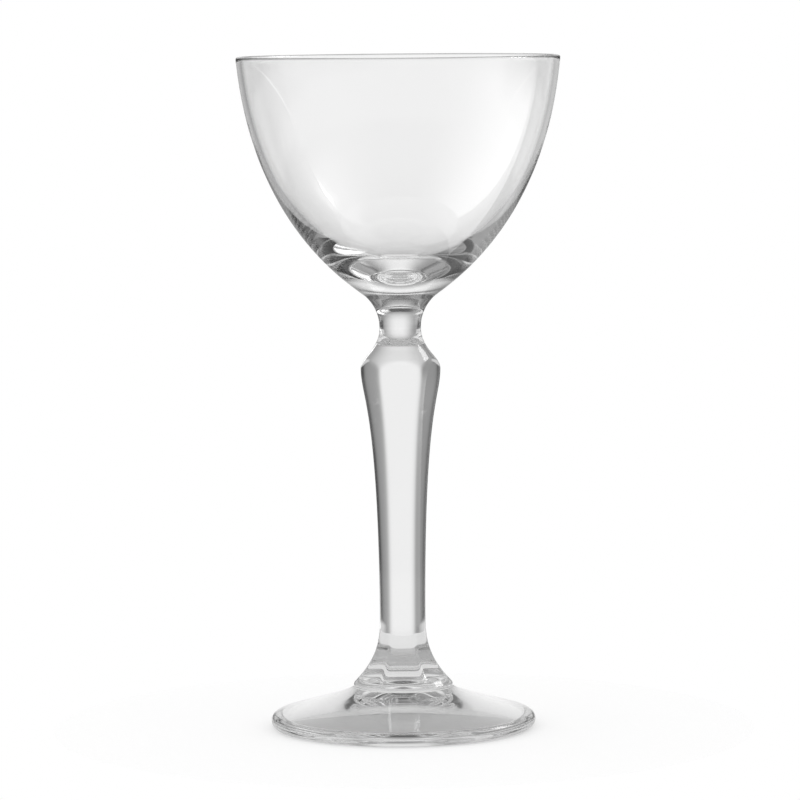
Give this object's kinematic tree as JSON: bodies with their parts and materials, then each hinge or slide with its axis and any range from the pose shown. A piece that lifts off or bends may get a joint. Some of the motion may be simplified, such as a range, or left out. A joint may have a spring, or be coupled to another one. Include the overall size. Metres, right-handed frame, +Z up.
{
  "type": "nick and nora glass",
  "caption": "Clear stemmed cocktail glass with a deep rounded bowl, a tapering faceted stem and a wide disc foot, for short drinks served without ice.",
  "frame": {"origin": "on the axis, at the level of the bearing ring under the foot, so the glass stands on the plane of X and Y", "axes": "+Z up along the glass's axis; a flat of the stem faces -Y, and corners of the stem lie on +X and -X"},
  "size_m": [0.078, 0.078, 0.1626],
  "materials": {
    "clear_glass": "clear, fire-polished"
  },
  "bodies": {
    "root": {"bowl": "clear_glass", "stem": "clear_glass", "foot": "clear_glass"}
  },
  "joints": []
}
